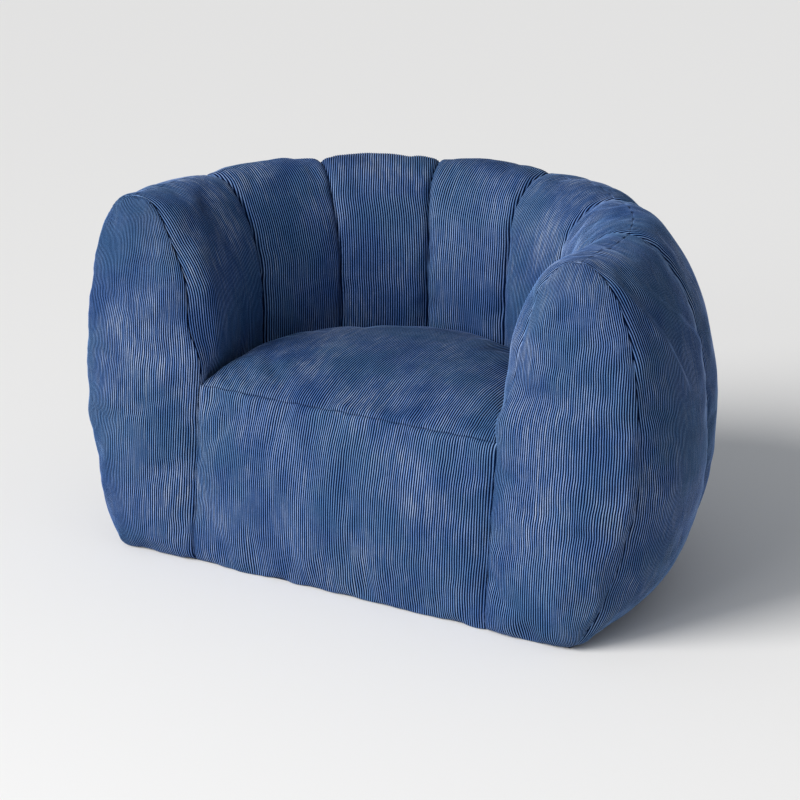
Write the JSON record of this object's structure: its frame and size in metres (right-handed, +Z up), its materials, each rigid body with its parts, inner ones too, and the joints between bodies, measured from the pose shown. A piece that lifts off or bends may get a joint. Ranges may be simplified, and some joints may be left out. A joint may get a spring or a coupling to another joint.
{
  "type": "bean bag chair",
  "caption": "Structured bean bag armchair: a horseshoe of puffed corduroy channels wraps a domed seat, bead bags inside, recessed zip in the base.",
  "frame": {"origin": "centre of the base on the floor, in the middle of the chair's bounding box", "axes": "+X to the right of a viewer who faces the chair's front, +Y towards the back, +Z up"},
  "size_m": [0.9724, 0.6398, 0.548],
  "materials": {
    "corduroy": "wide-wale cotton corduroy, soft pile with lighter wale crests",
    "base_cloth": "plain-woven polyester canvas",
    "zip_tape": "twill zip tape",
    "zip_teeth": "moulded teeth",
    "zip_metal": "satin enamelled zinc",
    "lining": "non-woven lining cloth",
    "bead_bag_cloth": "light plain-woven inner bag"
  },
  "bodies": {
    "chair": {"seat_panel": "corduroy", "front_panel": "corduroy", "arm_front_left": "corduroy", "arm_front_right": "corduroy", "inner_channel_left_front": "corduroy", "inner_channel_left_side": "corduroy", "inner_channel_left_back": "corduroy", "inner_channel_back": "corduroy", "inner_channel_right_back": "corduroy", "inner_channel_right_side": "corduroy", "inner_channel_right_front": "corduroy", "outer_channel_left_front": "corduroy", "outer_channel_left_side": "corduroy", "outer_channel_left_back": "corduroy", "outer_channel_back": "corduroy", "outer_channel_right_back": "corduroy", "outer_channel_right_side": "corduroy", "outer_channel_right_front": "corduroy", "base_panel_front": "base_cloth", "base_panel_back": "base_cloth", "zip_tape_front": "zip_tape", "zip_tape_back": "zip_tape", "zip_teeth_front": "zip_teeth", "zip_teeth_back": "zip_teeth", "zip_end_stops": "zip_metal", "baffle_left_front": "lining", "baffle_left_side": "lining", "baffle_left_back": "lining", "baffle_right_back": "lining", "baffle_right_side": "lining", "baffle_right_front": "lining", "seat_divider": "lining", "seat_bead_bag": "bead_bag_cloth", "bead_bag_left_front": "bead_bag_cloth", "bead_bag_left_side": "bead_bag_cloth", "bead_bag_left_back": "bead_bag_cloth", "bead_bag_back": "bead_bag_cloth", "bead_bag_right_back": "bead_bag_cloth", "bead_bag_right_side": "bead_bag_cloth", "bead_bag_right_front": "bead_bag_cloth"},
    "slider": {"zip_slider": "zip_metal"}
  },
  "joints": [
    {"name": "zip_slide", "type": "slide", "parent": "chair", "child": "slider", "axis": [1, 0, 0], "range_m": [0, 0.39]}
  ]
}
